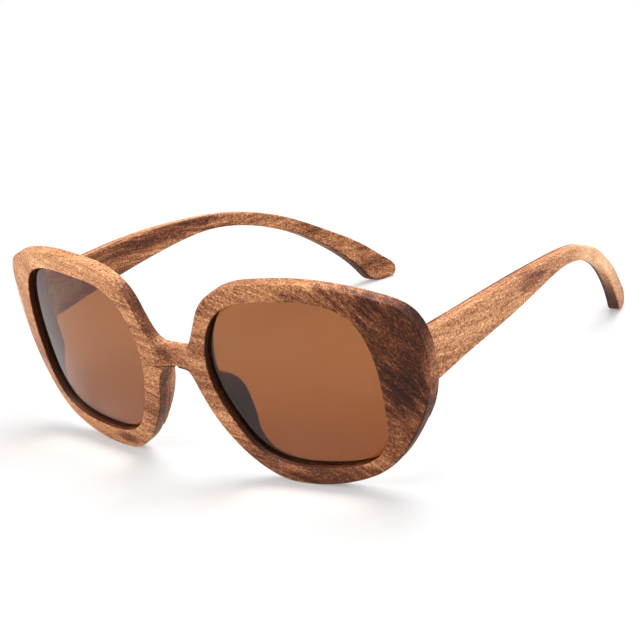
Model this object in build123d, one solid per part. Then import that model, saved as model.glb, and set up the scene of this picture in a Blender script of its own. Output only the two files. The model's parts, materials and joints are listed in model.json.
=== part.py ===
from build123d import *
import os
from math import cos, radians, sin, tan

# Wooden sunglasses in millimetres, open and standing on a table.
# +X is the wearer's left, the front faces -Y, the temples run back along +Y, +Z is up.
# The front is drawn upright first, as x across, y deep and z high, then tilted into place.

# Lens openings and the wood around them, as a frame maker gives them
LENS_WIDTH = 50.2
LENS_HEIGHT = 50.0
LENS_SPACING = 24.4
TEMPORAL_PANEL = 11.6
BROW = 4.8
LOWER_RIM = 5.8
HALF_WIDTH = LENS_SPACING / 2 + LENS_WIDTH + TEMPORAL_PANEL
RIM_HEIGHT = LOWER_RIM + LENS_HEIGHT + BROW

# Wrap of the front in plan, its vertical dome and its lean
WRAP_RADIUS = 450.0
END_SETBACK = 9.2
DOME_RADIUS = 195.0
DOME_MID_SHARE = 0.475
DOME_MID = DOME_MID_SHARE * RIM_HEIGHT
FRONT_TILT = 9.1

# Plies of the front, from the face to the back
FACE_PLY = 1.6
CORE_PLY = 1.6
BACK_PLY = 1.2
FRONT_THICKNESS = FACE_PLY + CORE_PLY + BACK_PLY
END_ANGLE = 10.8
SWELL_INSET = 30.0
SWELL_START = HALF_WIDTH - SWELL_INSET
SWELL_LENGTH = 16.0
SWELL_LEAD_SHARE = 0.45
BLOCK_RELIEF = 6.0

# Lens and its groove
LENS_THICKNESS = 1.4
LENS_BITE = 0.9
LENS_PLAY = 0.1

# Bridge hollow, and the nose pads behind the nasal rims
SCOOP_DEPTH = 1.2
SCOOP_WIDTH = 15.0
PAD_FOOT = 8.8
PAD_HEIGHT = 22.6
PAD_DEPTH = 5.6
PAD_FLARE = 22.0
PAD_STEP = 0.7

# Temple board, bent in plan and cut to its outline, rising above its hinge
HINGE_HEIGHT = 38.2
TEMPLE_RISE = 6.8
TEMPLE_TOP = HINGE_HEIGHT + TEMPLE_RISE
TEMPLE_INSET = 2.0
TEMPLE_LENGTH = 145.4
OUTER_PLY = 3.1
INNER_PLY = 1.0
TEMPLE_THICKNESS = OUTER_PLY + INNER_PLY
STRAIGHT_LENGTH = 30.5
BEND_RADIUS = 268.0
BEND_ANGLE = 20.2
BUTT_GAP = 0.3

# Three barrel hinge: knuckles of the front leaf above and below the eye of the temple leaf
BARREL_RADIUS = 1.55
KNUCKLE_HEIGHT = 2.4
EYE_HEIGHT = 3.6
KNUCKLE_PLAY = 0.1
BARREL_GAP = 0.35
SEAT_GAP = 0.25
PIN_RADIUS = 0.6
PIN_PLAY = 0.05
HEAD_RADIUS = 1.15
HEAD_HEIGHT = 0.6
SLOT_WIDTH = 0.3
SLOT_DEPTH = 0.25

# Leaves of the hinge, let into the wood, with their wood screws
LEAF_THICKNESS = 1.0
LEAF_SEAT = 0.4
LEAF_ROUND = 0.8
LEAF_PLAY = 0.05
LEAF_WIDTH = 4.6
LEAF_OFFSET = 0.6
LEAF_TAB = 2.6
TEMPLE_LEAF_LENGTH = 11.5
TEMPLE_LEAF_HEIGHT = 5.0
TEMPLE_LEAF_START = 2.4
TEMPLE_SCREW_PITCH = 5.6
SCREW_RADIUS = 0.5
SCREW_HEAD_RADIUS = 0.95
SCREW_HEAD_HEIGHT = 0.45
LEAF_SCREW_LENGTH = 3.0
SCREW_PLAY = 0.02

# Overrun of cutting tools past what they cut, and reach of the longest ones
OVERRUN = 12.0
REACH = 200.0

# Outer edge of one half of the front, from the top of the bridge round to its underside,
# as shares of the half width and of the rim height
OUTLINE_SHARES = [
    (0.000, 0.644), (0.070, 0.653), (0.124, 0.738), (0.184, 0.878), (0.284, 0.961), (0.432, 0.994),
    (0.540, 1.000), (0.703, 0.980), (0.858, 0.921), (0.950, 0.847), (0.992, 0.734), (1.000, 0.602),
    (0.974, 0.416), (0.905, 0.248), (0.804, 0.109), (0.669, 0.034), (0.455, 0.000), (0.378, 0.011),
    (0.274, 0.085), (0.179, 0.225), (0.120, 0.370), (0.089, 0.475), (0.055, 0.532), (0.000, 0.547),
]

# Lens opening about its middle, as shares of the lens width and height
OPENING_SHARES = [
    (-0.500, 0.074), (-0.476, 0.230), (-0.393, 0.382), (-0.275, 0.460), (-0.086, 0.493),
    (0.094, 0.502), (0.263, 0.480), (0.402, 0.400), (0.472, 0.260), (0.499, 0.064),
    (0.493, -0.146), (0.462, -0.320), (0.400, -0.411), (0.263, -0.473), (0.054, -0.497),
    (-0.145, -0.490), (-0.291, -0.424), (-0.406, -0.253), (-0.475, -0.080),
]

# Side view of the temple, as shares of its length and of its top height: over the top
# from the butt to the tip, then back along the underside
TEMPLE_SHARES = [
    (-0.050, 1.000), (0.155, 0.998), (0.290, 0.993), (0.405, 0.968), (0.514, 0.926), (0.622, 0.849),
    (0.725, 0.713), (0.820, 0.530), (0.909, 0.332), (0.969, 0.162), (0.990, 0.075), (0.986, 0.020),
    (0.962, 0.000), (0.926, 0.022), (0.908, 0.090), (0.872, 0.233), (0.821, 0.386), (0.747, 0.562),
    (0.662, 0.698), (0.575, 0.791), (0.493, 0.830), (0.413, 0.824), (0.305, 0.793), (0.197, 0.756),
    (0.096, 0.720), (-0.050, 0.680),
]

# How far the end block stays in front of its seat, as shares of the rim height and of the relief.
# It keeps its full depth only beside the hinge and the temple
BLOCK_SHARES = [
    (0.06, 1.25), (0.20, 0.72), (0.33, 0.22), (0.43, -0.06), (0.60, -0.14), (0.76, -0.06),
    (0.83, 0.35), (0.90, 1.00), (0.95, 1.50),
]

# Depth of a nose pad along its height, from foot to top, as shares
PAD_SHARES = [(0.0, 0.0), (0.24, 0.46), (0.50, 0.88), (0.70, 1.0), (0.88, 0.72), (1.0, 0.0)]

DEEP = Vector(0, 1, 0)
ACROSS = Vector(1, 0, 0)
UP = Vector(0, 0, 1)


def face_depth(x):
    """How far the face lies behind its middle, in plan."""
    return x**2 / (2 * WRAP_RADIUS) + END_SETBACK * (x / HALF_WIDTH) ** 4


def seat_depth(x):
    """Depth of the flat seat for hinge and temple, at the ends of the back."""
    end = face_depth(HALF_WIDTH) + FRONT_THICKNESS
    return end - (HALF_WIDTH - x) * tan(radians(END_ANGLE))


def dome(z):
    """How far a level lies behind the fullest level of the front."""
    return (z - DOME_MID) ** 2 / (2 * DOME_RADIUS)


def standing_drop():
    """How far the leaning front is lowered until its rims stand on the table."""
    lean = radians(FRONT_TILT)
    low_x, low_z = min(OUTLINE_SHARES, key=lambda share: share[1])
    return (face_depth(low_x * HALF_WIDTH) + dome(low_z * RIM_HEIGHT)) * sin(lean)


def behind(x, height):
    """Depth of the leaning seat at a place across and above the table."""
    lean = radians(FRONT_TILT)
    return seat_depth(x) / cos(lean) - (height + standing_drop()) * tan(lean)


def wrapped_sheet(set_back):
    """Wrap and dome of the face as one smooth patch, set back by a depth."""
    half = HALF_WIDTH + OVERRUN / 2
    low, high = -OVERRUN / 2, RIM_HEIGHT + OVERRUN / 2
    bow = half**2 / (2 * WRAP_RADIUS)
    hook = END_SETBACK * (half / HALF_WIDTH) ** 4
    across = [bow + hook, -hook, hook - bow / 3, -hook, bow + hook]
    middle_rise = (low - DOME_MID) * (high - DOME_MID) / (2 * DOME_RADIUS)
    rises = [(low, dome(low)), ((low + high) / 2, middle_rise), (high, dome(high))]
    rows = []
    for z, rise in rises:
        xs = [half * (column / 2 - 1) for column in range(len(across))]
        rows.append([Vector(x, set_back + depth + rise, z) for x, depth in zip(xs, across)])
    return Face.make_bezier_surface(rows)


def front_outline():
    half = [(x * HALF_WIDTH, z * RIM_HEIGHT) for x, z in OUTLINE_SHARES]
    other = [(-x, z) for x, z in reversed(half[1:-1])]
    return make_face(Spline(*[Vector(x, 0, z) for x, z in half + other], periodic=True))


def opening_outline(grow, side=1):
    """Lens opening in the upright front, larger all round by grow."""
    middle_x = LENS_SPACING / 2 + LENS_WIDTH / 2
    middle_z = LOWER_RIM + LENS_HEIGHT / 2
    points = [
        Vector(side * (middle_x + x * (LENS_WIDTH + 2 * grow)), 0, middle_z + z * (LENS_HEIGHT + 2 * grow))
        for x, z in OPENING_SHARES
    ]
    return make_face(Spline(*points, periodic=True))


def through(outline):
    """The outline as a long bar along the depth."""
    return extrude(outline.moved(Location(-DEEP * OVERRUN)), amount=REACH, dir=DEEP)


def layer(front, thickness):
    """Everything between two depths behind the wrapped and domed face."""
    return extrude(wrapped_sheet(front), amount=thickness, dir=DEEP)


def swell():
    """Bar over the wearer's left rim, up to the ramp and the flat seat of its end block."""
    start = Vector(SWELL_START, face_depth(SWELL_START) + FRONT_THICKNESS - BACK_PLY / 2, 0)
    ramp = SWELL_START + SWELL_LENGTH
    knee = Vector(ramp, seat_depth(ramp), 0)
    far = HALF_WIDTH + OVERRUN
    rise = tan(radians(END_ANGLE))
    slope = SWELL_START / WRAP_RADIUS + 4 * END_SETBACK * SWELL_START**3 / HALF_WIDTH**4
    lead = SWELL_LEAD_SHARE * SWELL_LENGTH
    curve = Bezier(start, start + Vector(lead, lead * slope, 0), knee - Vector(lead, lead * rise, 0), knee)
    rim = Polyline(knee, Vector(far, seat_depth(far), 0), Vector(far, 0, 0), Vector(SWELL_START, 0, 0), start)
    return extrude(make_face([curve, *rim.edges()]), amount=RIM_HEIGHT, dir=UP)


def relief():
    """Bar that thins the end block above and below the hinge, along the slope of the seat."""
    far = HALF_WIDTH + OVERRUN
    crest = [Vector(far, seat_depth(far) - share * BLOCK_RELIEF, z * RIM_HEIGHT) for z, share in BLOCK_SHARES]
    front = [Vector(far, -REACH, crest[-1].Z), Vector(far, -REACH, crest[0].Z)]
    side = make_face([Spline(*crest), *Polyline(crest[-1], *front, crest[0]).edges()])
    turn = radians(END_ANGLE)
    return extrude(side, amount=REACH / 2, dir=Vector(-cos(turn), -sin(turn), 0))


def mirrored(piece):
    return mirror(piece, about=Plane.YZ)


def front_plies():
    """Face, core and back ply of the upright front."""
    bar = through(front_outline())
    openings = [through(opening_outline(0, side)) for side in (1, -1)]
    grooves = [through(opening_outline(LENS_BITE, side)) for side in (1, -1)]
    radius = (SCOOP_WIDTH**2 / 4 + SCOOP_DEPTH**2) / (2 * SCOOP_DEPTH)
    hollow = Pos(0, SCOOP_DEPTH - radius, RIM_HEIGHT / 2) * Cylinder(radius, REACH)
    face = (layer(0, FACE_PLY) & bar) - openings - hollow
    core = (layer(FACE_PLY, CORE_PLY) & bar) - grooves
    rear = (layer(FACE_PLY + CORE_PLY, BACK_PLY) & bar) - openings
    return face, core, rear


def end_block():
    """Block glued behind the wearer's left rim, swelling up to the flat seat of hinge and temple."""
    band = through(front_outline()) - through(opening_outline(0))
    return ((layer(FRONT_THICKNESS, OVERRUN) & band) & swell()) & relief()


def lens():
    """Tinted lens of the wearer's left eye, held all round in the groove of the core ply."""
    play = (CORE_PLY - LENS_THICKNESS) / 2
    return layer(FACE_PLY + play, LENS_THICKNESS) & through(opening_outline(LENS_BITE - LENS_PLAY))


def nose_pad():
    """Wooden pad glued behind the nasal rim of the wearer's left lens, flaring off the nose."""
    middle = LENS_SPACING / 2 + LENS_WIDTH / 2
    zone = Pos(middle / 2, 0, PAD_FOOT + PAD_HEIGHT / 2) * Box(middle, OVERRUN, PAD_HEIGHT)
    footprint = (front_outline() - opening_outline(0)) & zone
    seat = FRONT_THICKNESS + PAD_STEP
    foot = extrude(footprint, amount=seat, dir=DEEP)
    flare = Vector(sin(radians(PAD_FLARE)), cos(radians(PAD_FLARE)), 0)
    blade = extrude(footprint.moved(Location(DEEP * seat)), amount=2 * PAD_DEPTH, dir=flare)
    crest = []
    for along, share in PAD_SHARES:
        z = PAD_FOOT + along * PAD_HEIGHT
        crest.append(Vector(0, FRONT_THICKNESS + dome(z) + share * PAD_DEPTH, z))
    front = [Vector(0, 0, PAD_FOOT + PAD_HEIGHT), Vector(0, 0, PAD_FOOT)]
    side = make_face([Spline(*crest), *Polyline(crest[-1], *front, crest[0]).edges()])
    hump = extrude(side, amount=middle, dir=ACROSS)
    return ((foot + blade) & hump) & layer(FRONT_THICKNESS, 2 * PAD_DEPTH)


def board_strip(near, far):
    """Bent board of the temple seen from above, between two depths under its outer side."""
    outer = HALF_WIDTH - TEMPLE_INSET
    bend = behind(outer, HINGE_HEIGHT) + STRAIGHT_LENGTH
    angle = radians(BEND_ANGLE)
    centre = Vector(outer - BEND_RADIUS, bend, 0)
    edges = []
    ends = []
    for depth in (near, far):
        radius = BEND_RADIUS - depth
        knee = centre + Vector(radius * cos(angle), radius * sin(angle), 0)
        end = knee + Vector(-sin(angle), cos(angle), 0) * TEMPLE_LENGTH
        start = Vector(outer - depth, 0, 0)
        edges += [
            Line(start, Vector(outer - depth, bend, 0)),
            CenterArc(centre, radius, 0, BEND_ANGLE),
            Line(knee, end),
        ]
        ends.append((start, end))
    edges += [Line(ends[0][0], ends[1][0]), Line(ends[0][1], ends[1][1])]
    return make_face(edges)


def seat_frame(x, height):
    """Place on the leaning seat, with Y square to the wood there."""
    return Pos(x, behind(x, height), height) * Rot(X=FRONT_TILT) * Rot(Z=END_ANGLE)


def ahead(place, depth):
    """Everything in front of a place on the back, up to a depth behind it."""
    return place * Pos(0, depth - REACH / 2, 0) * Box(REACH, REACH, REACH)


def temple_plies():
    """Outer and inner ply of the wearer's left temple."""
    outer = HALF_WIDTH - TEMPLE_INSET
    start = behind(outer, HINGE_HEIGHT)
    spots = [Vector(0, start + y * TEMPLE_LENGTH, z * TEMPLE_TOP) for y, z in TEMPLE_SHARES]
    side = make_face([Spline(*spots), Line(spots[-1], spots[0])])
    profile = extrude(side, amount=REACH, dir=ACROSS)
    front = ahead(seat_frame(outer, HINGE_HEIGHT), BUTT_GAP)
    plies = []
    for near, far in ((0, OUTER_PLY), (OUTER_PLY, TEMPLE_THICKNESS)):
        strip = board_strip(near, far).moved(Location(-UP * OVERRUN))
        plies.append((extrude(strip, amount=REACH, dir=UP) & profile) - front)
    return plies


def slotted_head(radius, height):
    """Screw head standing on its base, with a driver slot."""
    head = Pos(0, 0, height / 2) * Cylinder(radius, height)
    return head - Pos(0, 0, height) * Box(2 * radius + OVERRUN, SLOT_WIDTH, 2 * SLOT_DEPTH)


def wood_screw():
    """Slotted screw pointing down, its head standing on the level zero."""
    shank = Pos(0, 0, -LEAF_SCREW_LENGTH / 2) * Cylinder(SCREW_RADIUS, LEAF_SCREW_LENGTH)
    return slotted_head(SCREW_HEAD_RADIUS, SCREW_HEAD_HEIGHT) + shank


def leaf_plate(length, height, play=0):
    """Rounded plate, rising along Y from the bottom of its recess."""
    outline = RectangleRounded(length + 2 * play, height + 2 * play, LEAF_ROUND + play)
    return Pos(0, -LEAF_SEAT, 0) * Rot(X=-90) * extrude(outline, amount=LEAF_THICKNESS)


def seated_leaf(place, length, height, spots):
    """A leaf let into the wood at a place: its plate, its wood screws and the cut for both."""
    heads = [place * Pos(x, LEAF_THICKNESS - LEAF_SEAT, z) * Rot(X=-90) for x, z in spots]
    bore_length = 2 * (LEAF_SCREW_LENGTH + SCREW_PLAY)
    bores = [head * Cylinder(SCREW_RADIUS + SCREW_PLAY, bore_length) for head in heads]
    screws = [head * wood_screw() for head in heads]
    plate = place * leaf_plate(length, height) - bores
    return plate, screws, [place * leaf_plate(length, height, LEAF_PLAY), *bores]


def hinge_stack():
    """Height of the whole barrel."""
    return 2 * (KNUCKLE_HEIGHT + KNUCKLE_PLAY) + EYE_HEIGHT


def barrel_x():
    return HALF_WIDTH - TEMPLE_INSET - TEMPLE_THICKNESS - BARREL_GAP - BARREL_RADIUS


def pivot():
    """Middle of the hinge screw of the wearer's left temple."""
    leaf_x = barrel_x() - LEAF_OFFSET
    lean = radians(FRONT_TILT)
    turn = radians(END_ANGLE)
    rise = LEAF_THICKNESS - LEAF_SEAT + SEAT_GAP + BARREL_RADIUS
    clear = rise / (cos(turn) * cos(lean)) + LEAF_OFFSET * tan(turn) + EYE_HEIGHT / 2 * tan(lean)
    return Vector(barrel_x(), behind(leaf_x, HINGE_HEIGHT) + clear, HINGE_HEIGHT)


def hinge():
    """Both leaves, the hinge screw, the wood screws and the cuts of the wearer's left hinge."""
    axis = Location(pivot())
    stack = hinge_stack()
    bore = axis * Cylinder(PIN_RADIUS + PIN_PLAY, stack + OVERRUN)
    place = seat_frame(barrel_x() - LEAF_OFFSET, HINGE_HEIGHT)
    screw_height = (stack + LEAF_TAB) / 2
    spots = [(0, screw_height), (0, -screw_height)]
    front_leaf, front_screws, front_cut = seated_leaf(place, LEAF_WIDTH, stack + 2 * LEAF_TAB, spots)
    for side in (1, -1):
        level = axis * Pos(0, 0, side * (stack - KNUCKLE_HEIGHT) / 2)
        knuckle = level * Cylinder(BARREL_RADIUS, KNUCKLE_HEIGHT)
        web = level * Pos(0, -BARREL_RADIUS, 0) * Box(2 * BARREL_RADIUS, 2 * BARREL_RADIUS, KNUCKLE_HEIGHT)
        front_leaf += knuckle + (web - ahead(place, LEAF_THICKNESS / 2 - LEAF_SEAT))
    inner = HALF_WIDTH - TEMPLE_INSET - TEMPLE_THICKNESS
    start = pivot().Y + TEMPLE_LEAF_START
    place = Pos(inner, start + TEMPLE_LEAF_LENGTH / 2, HINGE_HEIGHT) * Rot(Z=90)
    spots = [(TEMPLE_SCREW_PITCH / 2, 0), (-TEMPLE_SCREW_PITCH / 2, 0)]
    temple_leaf, temple_screws, temple_cut = seated_leaf(place, TEMPLE_LEAF_LENGTH, TEMPLE_LEAF_HEIGHT, spots)
    neck_width = inner + LEAF_SEAT - LEAF_THICKNESS / 2 - barrel_x()
    neck_length = TEMPLE_LEAF_START + LEAF_ROUND
    neck = axis * Pos(neck_width / 2, neck_length / 2, 0) * Box(neck_width, neck_length, EYE_HEIGHT)
    temple_leaf += axis * Cylinder(BARREL_RADIUS, EYE_HEIGHT) + neck
    screw = Cylinder(PIN_RADIUS, stack) + Pos(0, 0, stack / 2) * slotted_head(HEAD_RADIUS, HEAD_HEIGHT)
    pieces = {
        "hinge_front_leaf": front_leaf - bore,
        "front_leaf_screws": Compound(front_screws),
        "hinge_screw": axis * screw,
        "hinge_temple_leaf": temple_leaf - bore,
        "temple_leaf_screws": Compound(temple_screws),
    }
    return pieces, front_cut, temple_cut


def sunglasses():
    """Every piece by its node name, standing open with the middle of its footprint at the origin."""
    standing = Pos(0, 0, -standing_drop()) * Rot(X=FRONT_TILT)
    face, core, rear = [standing * ply for ply in front_plies()]
    metal, front_cut, temple_cut = hinge()
    rear -= [*front_cut, *[mirrored(cut) for cut in front_cut]]
    outer, inner = [ply - temple_cut for ply in temple_plies()]
    pairs = {
        "lens": standing * lens(),
        "nose_pad": standing * nose_pad(),
        "end_block": standing * end_block() - front_cut,
        "temple_outer_ply": outer,
        "temple_inner_ply": inner,
        **metal,
    }
    pieces = {"front_face_ply": face, "front_core_ply": core, "front_back_ply": rear}
    for name, piece in pairs.items():
        pieces[f"{name}_left"] = piece
        pieces[f"{name}_right"] = mirrored(piece)
    room = Compound(list(pieces.values())).bounding_box()
    shift = Vector(0, -(room.min.Y + room.max.Y) / 2, -room.min.Z)
    print("size", room.size, "hinge axis", pivot() + shift, "shift", shift)
    return {name: Location(shift) * piece for name, piece in pieces.items()}


def main():
    os.makedirs("parts", exist_ok=True)
    for name, piece in sunglasses().items():
        export_step(piece, f"parts/{name}.step")


if __name__ == "__main__":
    main()
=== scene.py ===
"""Wooden sunglasses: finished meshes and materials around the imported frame, lit for a studio view."""

import json
import logging
import math
from dataclasses import dataclass, field
from enum import Enum
from typing import Iterable, Sequence

import bmesh
import bpy
import numpy as np
from mathutils import Matrix, Vector


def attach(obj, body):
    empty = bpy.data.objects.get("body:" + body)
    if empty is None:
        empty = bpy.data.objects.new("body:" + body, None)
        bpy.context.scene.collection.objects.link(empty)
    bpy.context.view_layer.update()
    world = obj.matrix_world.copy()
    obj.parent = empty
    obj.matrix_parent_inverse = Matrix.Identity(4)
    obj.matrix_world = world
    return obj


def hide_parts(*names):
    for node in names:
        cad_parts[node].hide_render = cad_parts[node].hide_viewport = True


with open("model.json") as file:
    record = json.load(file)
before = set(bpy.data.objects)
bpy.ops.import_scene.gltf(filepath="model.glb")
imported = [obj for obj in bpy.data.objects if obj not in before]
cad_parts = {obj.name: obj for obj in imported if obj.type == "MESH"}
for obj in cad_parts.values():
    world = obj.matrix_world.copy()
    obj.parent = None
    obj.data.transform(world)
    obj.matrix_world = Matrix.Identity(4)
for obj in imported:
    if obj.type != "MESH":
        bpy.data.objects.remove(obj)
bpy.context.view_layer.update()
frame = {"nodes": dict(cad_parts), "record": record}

LOG = logging.getLogger("sunglasses")
MM = 0.001
WELD = 0.004 * MM
SLIVER = 0.002 * MM
WHITE = (1.0, 1.0, 1.0, 1.0)
ACROSS = np.array([-1, 1, 1])
Points = np.ndarray
Rings = list[tuple[Points, float]]
Triple = tuple[float, float, float]


class Side(Enum):
    """Wearer's side of a paired piece."""

    LEFT = 1
    RIGHT = -1

    @property
    def label(self) -> str:
        """Ending of the node names on this side."""
        return self.name.lower()

    @property
    def mirrored(self) -> bool:
        """Whether pieces of this side are the left ones flipped across."""
        return self is Side.RIGHT


class Char(Enum):
    """Which part of a ply's lens opening takes the second material slot, which on the core and back plies is
    painted shade of the lens groove.
    """

    WALL = "wall"
    LIP = "wall and front lip"


class Curve:
    """Smooth cubic curve through points, open or closed, by chord length."""

    fineness = 40

    def __init__(self, points: Sequence[Sequence[float]], closed: bool = False) -> None:
        """Fits the curve.

        Args:
            points: the points that the curve passes through.
            closed: whether the curve returns to its first point.
        """
        spots = np.asarray(points, float)
        if closed:
            spots = np.vstack([spots, spots[:1]])
        chords = np.linalg.norm(np.diff(spots, axis=0), axis=1)
        self.knots = np.concatenate([[0.0], np.cumsum(chords)])
        self.spots = spots
        self.bends = self._second_derivatives(chords, closed)

    def _second_derivatives(self, chords: Points, closed: bool) -> Points:
        """Solves the cubic's continuity conditions.

        Args:
            chords: distances between neighbouring points.
            closed: whether the curve is periodic.

        Returns:
            The second derivative at each point.
        """
        count = len(self.spots)
        matrix = np.zeros((count, count))
        right = np.zeros_like(self.spots)
        slopes = np.diff(self.spots, axis=0) / chords[:, None]
        for row in range(1, count - 1):
            before, after = chords[row - 1], chords[row]
            matrix[row, row - 1 : row + 2] = before, 2 * (before + after), after
            right[row] = 6 * (slopes[row] - slopes[row - 1])
        if closed:
            matrix[0, [0, -1]] = 1, -1
            first, last = chords[0], chords[-1]
            matrix[-1, [0, 1, -2, -1]] = 2 * first, first, last, 2 * last
            right[-1] = 6 * (slopes[0] - slopes[-1])
        else:
            matrix[0, 0] = matrix[-1, -1] = 1
        return np.linalg.solve(matrix, right)

    def at(self, places: Points, order: int = 0) -> Points:
        """Points or tangents at chord-length places.

        Args:
            places: chord-length parameters.
            order: 0 for points, 1 for tangents.

        Returns:
            One row for each place.
        """
        span = np.clip(np.searchsorted(self.knots, places, side="right") - 1, 0, len(self.knots) - 2)
        width = (self.knots[span + 1] - self.knots[span])[:, None]
        b = ((places - self.knots[span])[:, None]) / width
        a = 1 - b
        low, high = self.spots[span], self.spots[span + 1]
        bend_low, bend_high = self.bends[span], self.bends[span + 1]
        if order == 0:
            cubic = ((a**3 - a) * bend_low + (b**3 - b) * bend_high) * width**2 / 6
            return a * low + b * high + cubic
        cubic = ((1 - 3 * a**2) * bend_low + (3 * b**2 - 1) * bend_high) * width / 6
        return (high - low) / width + cubic

    def normals(self, places: Points) -> Points:
        """Unit normals at chord-length places, to the left of the run."""
        along = self.at(places, 1)
        along /= np.linalg.norm(along, axis=1)[:, None]
        return np.stack([-along[:, 1], along[:, 0]], 1)

    def even(self, count: int, start: float = 0.0, end: float | None = None) -> Points:
        """Places spread evenly by arc length.

        Args:
            count: how many places.
            start: first place.
            end: last place, or None for the curve's end.

        Returns:
            The chord-length parameters.
        """
        end = self.knots[-1] if end is None else end
        fine = np.linspace(start, end, self.fineness * count)
        run = self.at(fine)
        length = np.concatenate([[0], np.cumsum(np.linalg.norm(np.diff(run, axis=0), axis=1))])
        return np.interp(np.linspace(0, length[-1], count), length, fine)


def smooth(share: Points) -> Points:
    """Smooth step from 0 to 1 of shares that are clipped to that stretch."""
    share = np.clip(share, 0, 1)
    return share**2 * (3 - 2 * share)


def away_from(middle: Points, spots: Points, normals: Points) -> Points:
    """Turns the normals at some spots away from a middle point."""
    sides = np.sign(np.sum(normals * (spots - middle), axis=1))
    return normals * np.where(sides == 0, 1, sides)[:, None]


def corner_steps(radius: float, steps: int = 5) -> list[tuple[float, float]]:
    """Inset and depth pairs round an edge, from the wall to the face.

    Args:
        radius: radius of the rounding.
        steps: number of flats.

    Returns:
        Pairs that start on the wall and end on the face.
    """
    turns = [math.pi / 2 * step / steps for step in range(steps + 1)]
    return [(radius * (1 - math.cos(turn)), radius * (1 - math.sin(turn))) for turn in turns]


@dataclass
class MeshDraft:
    """Vertices and faces gathered before they become an object."""

    vertices: list[Triple] = field(default_factory=list)
    faces: list[tuple[int, ...]] = field(default_factory=list)
    slots: list[int] = field(default_factory=list)

    def add(self, points: Points, closed: bool = False) -> Points:
        """Adds vertices.

        Args:
            points: an array whose last axis is x, y, z.
            closed: whether each row returns to its first point.

        Returns:
            Their indices, in rows and columns.
        """
        if closed:
            points = np.concatenate([points, points[:, :1]], axis=1)
        first = len(self.vertices)
        flat = points.reshape(-1, 3)
        self.vertices.extend(map(tuple, flat))
        return np.arange(first, first + len(flat)).reshape(points.shape[:-1])

    def face(self, corners: Iterable[int], slot: int = 0) -> None:
        """Adds one face in a material slot."""
        self.faces.append(tuple(int(corner) for corner in corners))
        self.slots.append(slot)

    def quads(self, grid: Points, slot: int = 0) -> None:
        """Joins neighbours in rows and columns of vertex indices with quads in a material slot."""
        for low, high in zip(grid, grid[1:]):
            for column in range(len(low) - 1):
                self.face((low[column], high[column], high[column + 1], low[column + 1]), slot)

    def build(self, name: str, mirrored: bool = False, both: bool = False) -> bpy.types.Object:
        """Makes the object, welded and facing outward.

        Args:
            name: name of the object and its mesh.
            mirrored: whether the piece is flipped across.
            both: whether the flipped half is joined to it.

        Returns:
            The new object, in metres.
        """
        mesh = bpy.data.meshes.new(name)
        spots = np.array(self.vertices)
        faces = list(self.faces)
        slots = list(self.slots)
        if both:
            count = len(spots)
            spots = np.vstack([spots, spots * ACROSS])
            faces += [tuple(corner + count for corner in reversed(face)) for face in self.faces]
            slots += self.slots
        if mirrored:
            spots = spots * ACROSS
            faces = [tuple(reversed(face)) for face in faces]
        mesh.from_pydata((spots * MM).tolist(), [], faces)
        mesh.polygons.foreach_set("material_index", slots)
        self._clean(mesh)
        piece = bpy.data.objects.new(name, mesh)
        bpy.context.scene.collection.objects.link(piece)
        return piece

    @staticmethod
    def _clean(mesh: bpy.types.Mesh) -> None:
        """Welds doubles, drops collapsed faces and turns every face outward."""
        draft = bmesh.new()
        draft.from_mesh(mesh)
        bmesh.ops.remove_doubles(draft, verts=draft.verts, dist=WELD)
        bmesh.ops.dissolve_degenerate(draft, edges=draft.edges, dist=SLIVER)
        bmesh.ops.recalc_face_normals(draft, faces=draft.faces)
        for face in draft.faces:
            face.smooth = True
        draft.to_mesh(mesh)
        draft.free()


def on_both_sides(drafts: dict[str, tuple[str, MeshDraft]]) -> dict[str, bpy.types.Object]:
    """Builds the left and the right piece of each draft.

    Args:
        drafts: names of the pieces and their drafts by the start of the CAD node's name.

    Returns:
        Pieces by the CAD node that each stands for.
    """
    return {
        f"{node}_{side.label}": draft.build(f"{name}_{side.label}", mirrored=side.mirrored)
        for side in Side
        for node, (name, draft) in drafts.items()
    }


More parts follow.
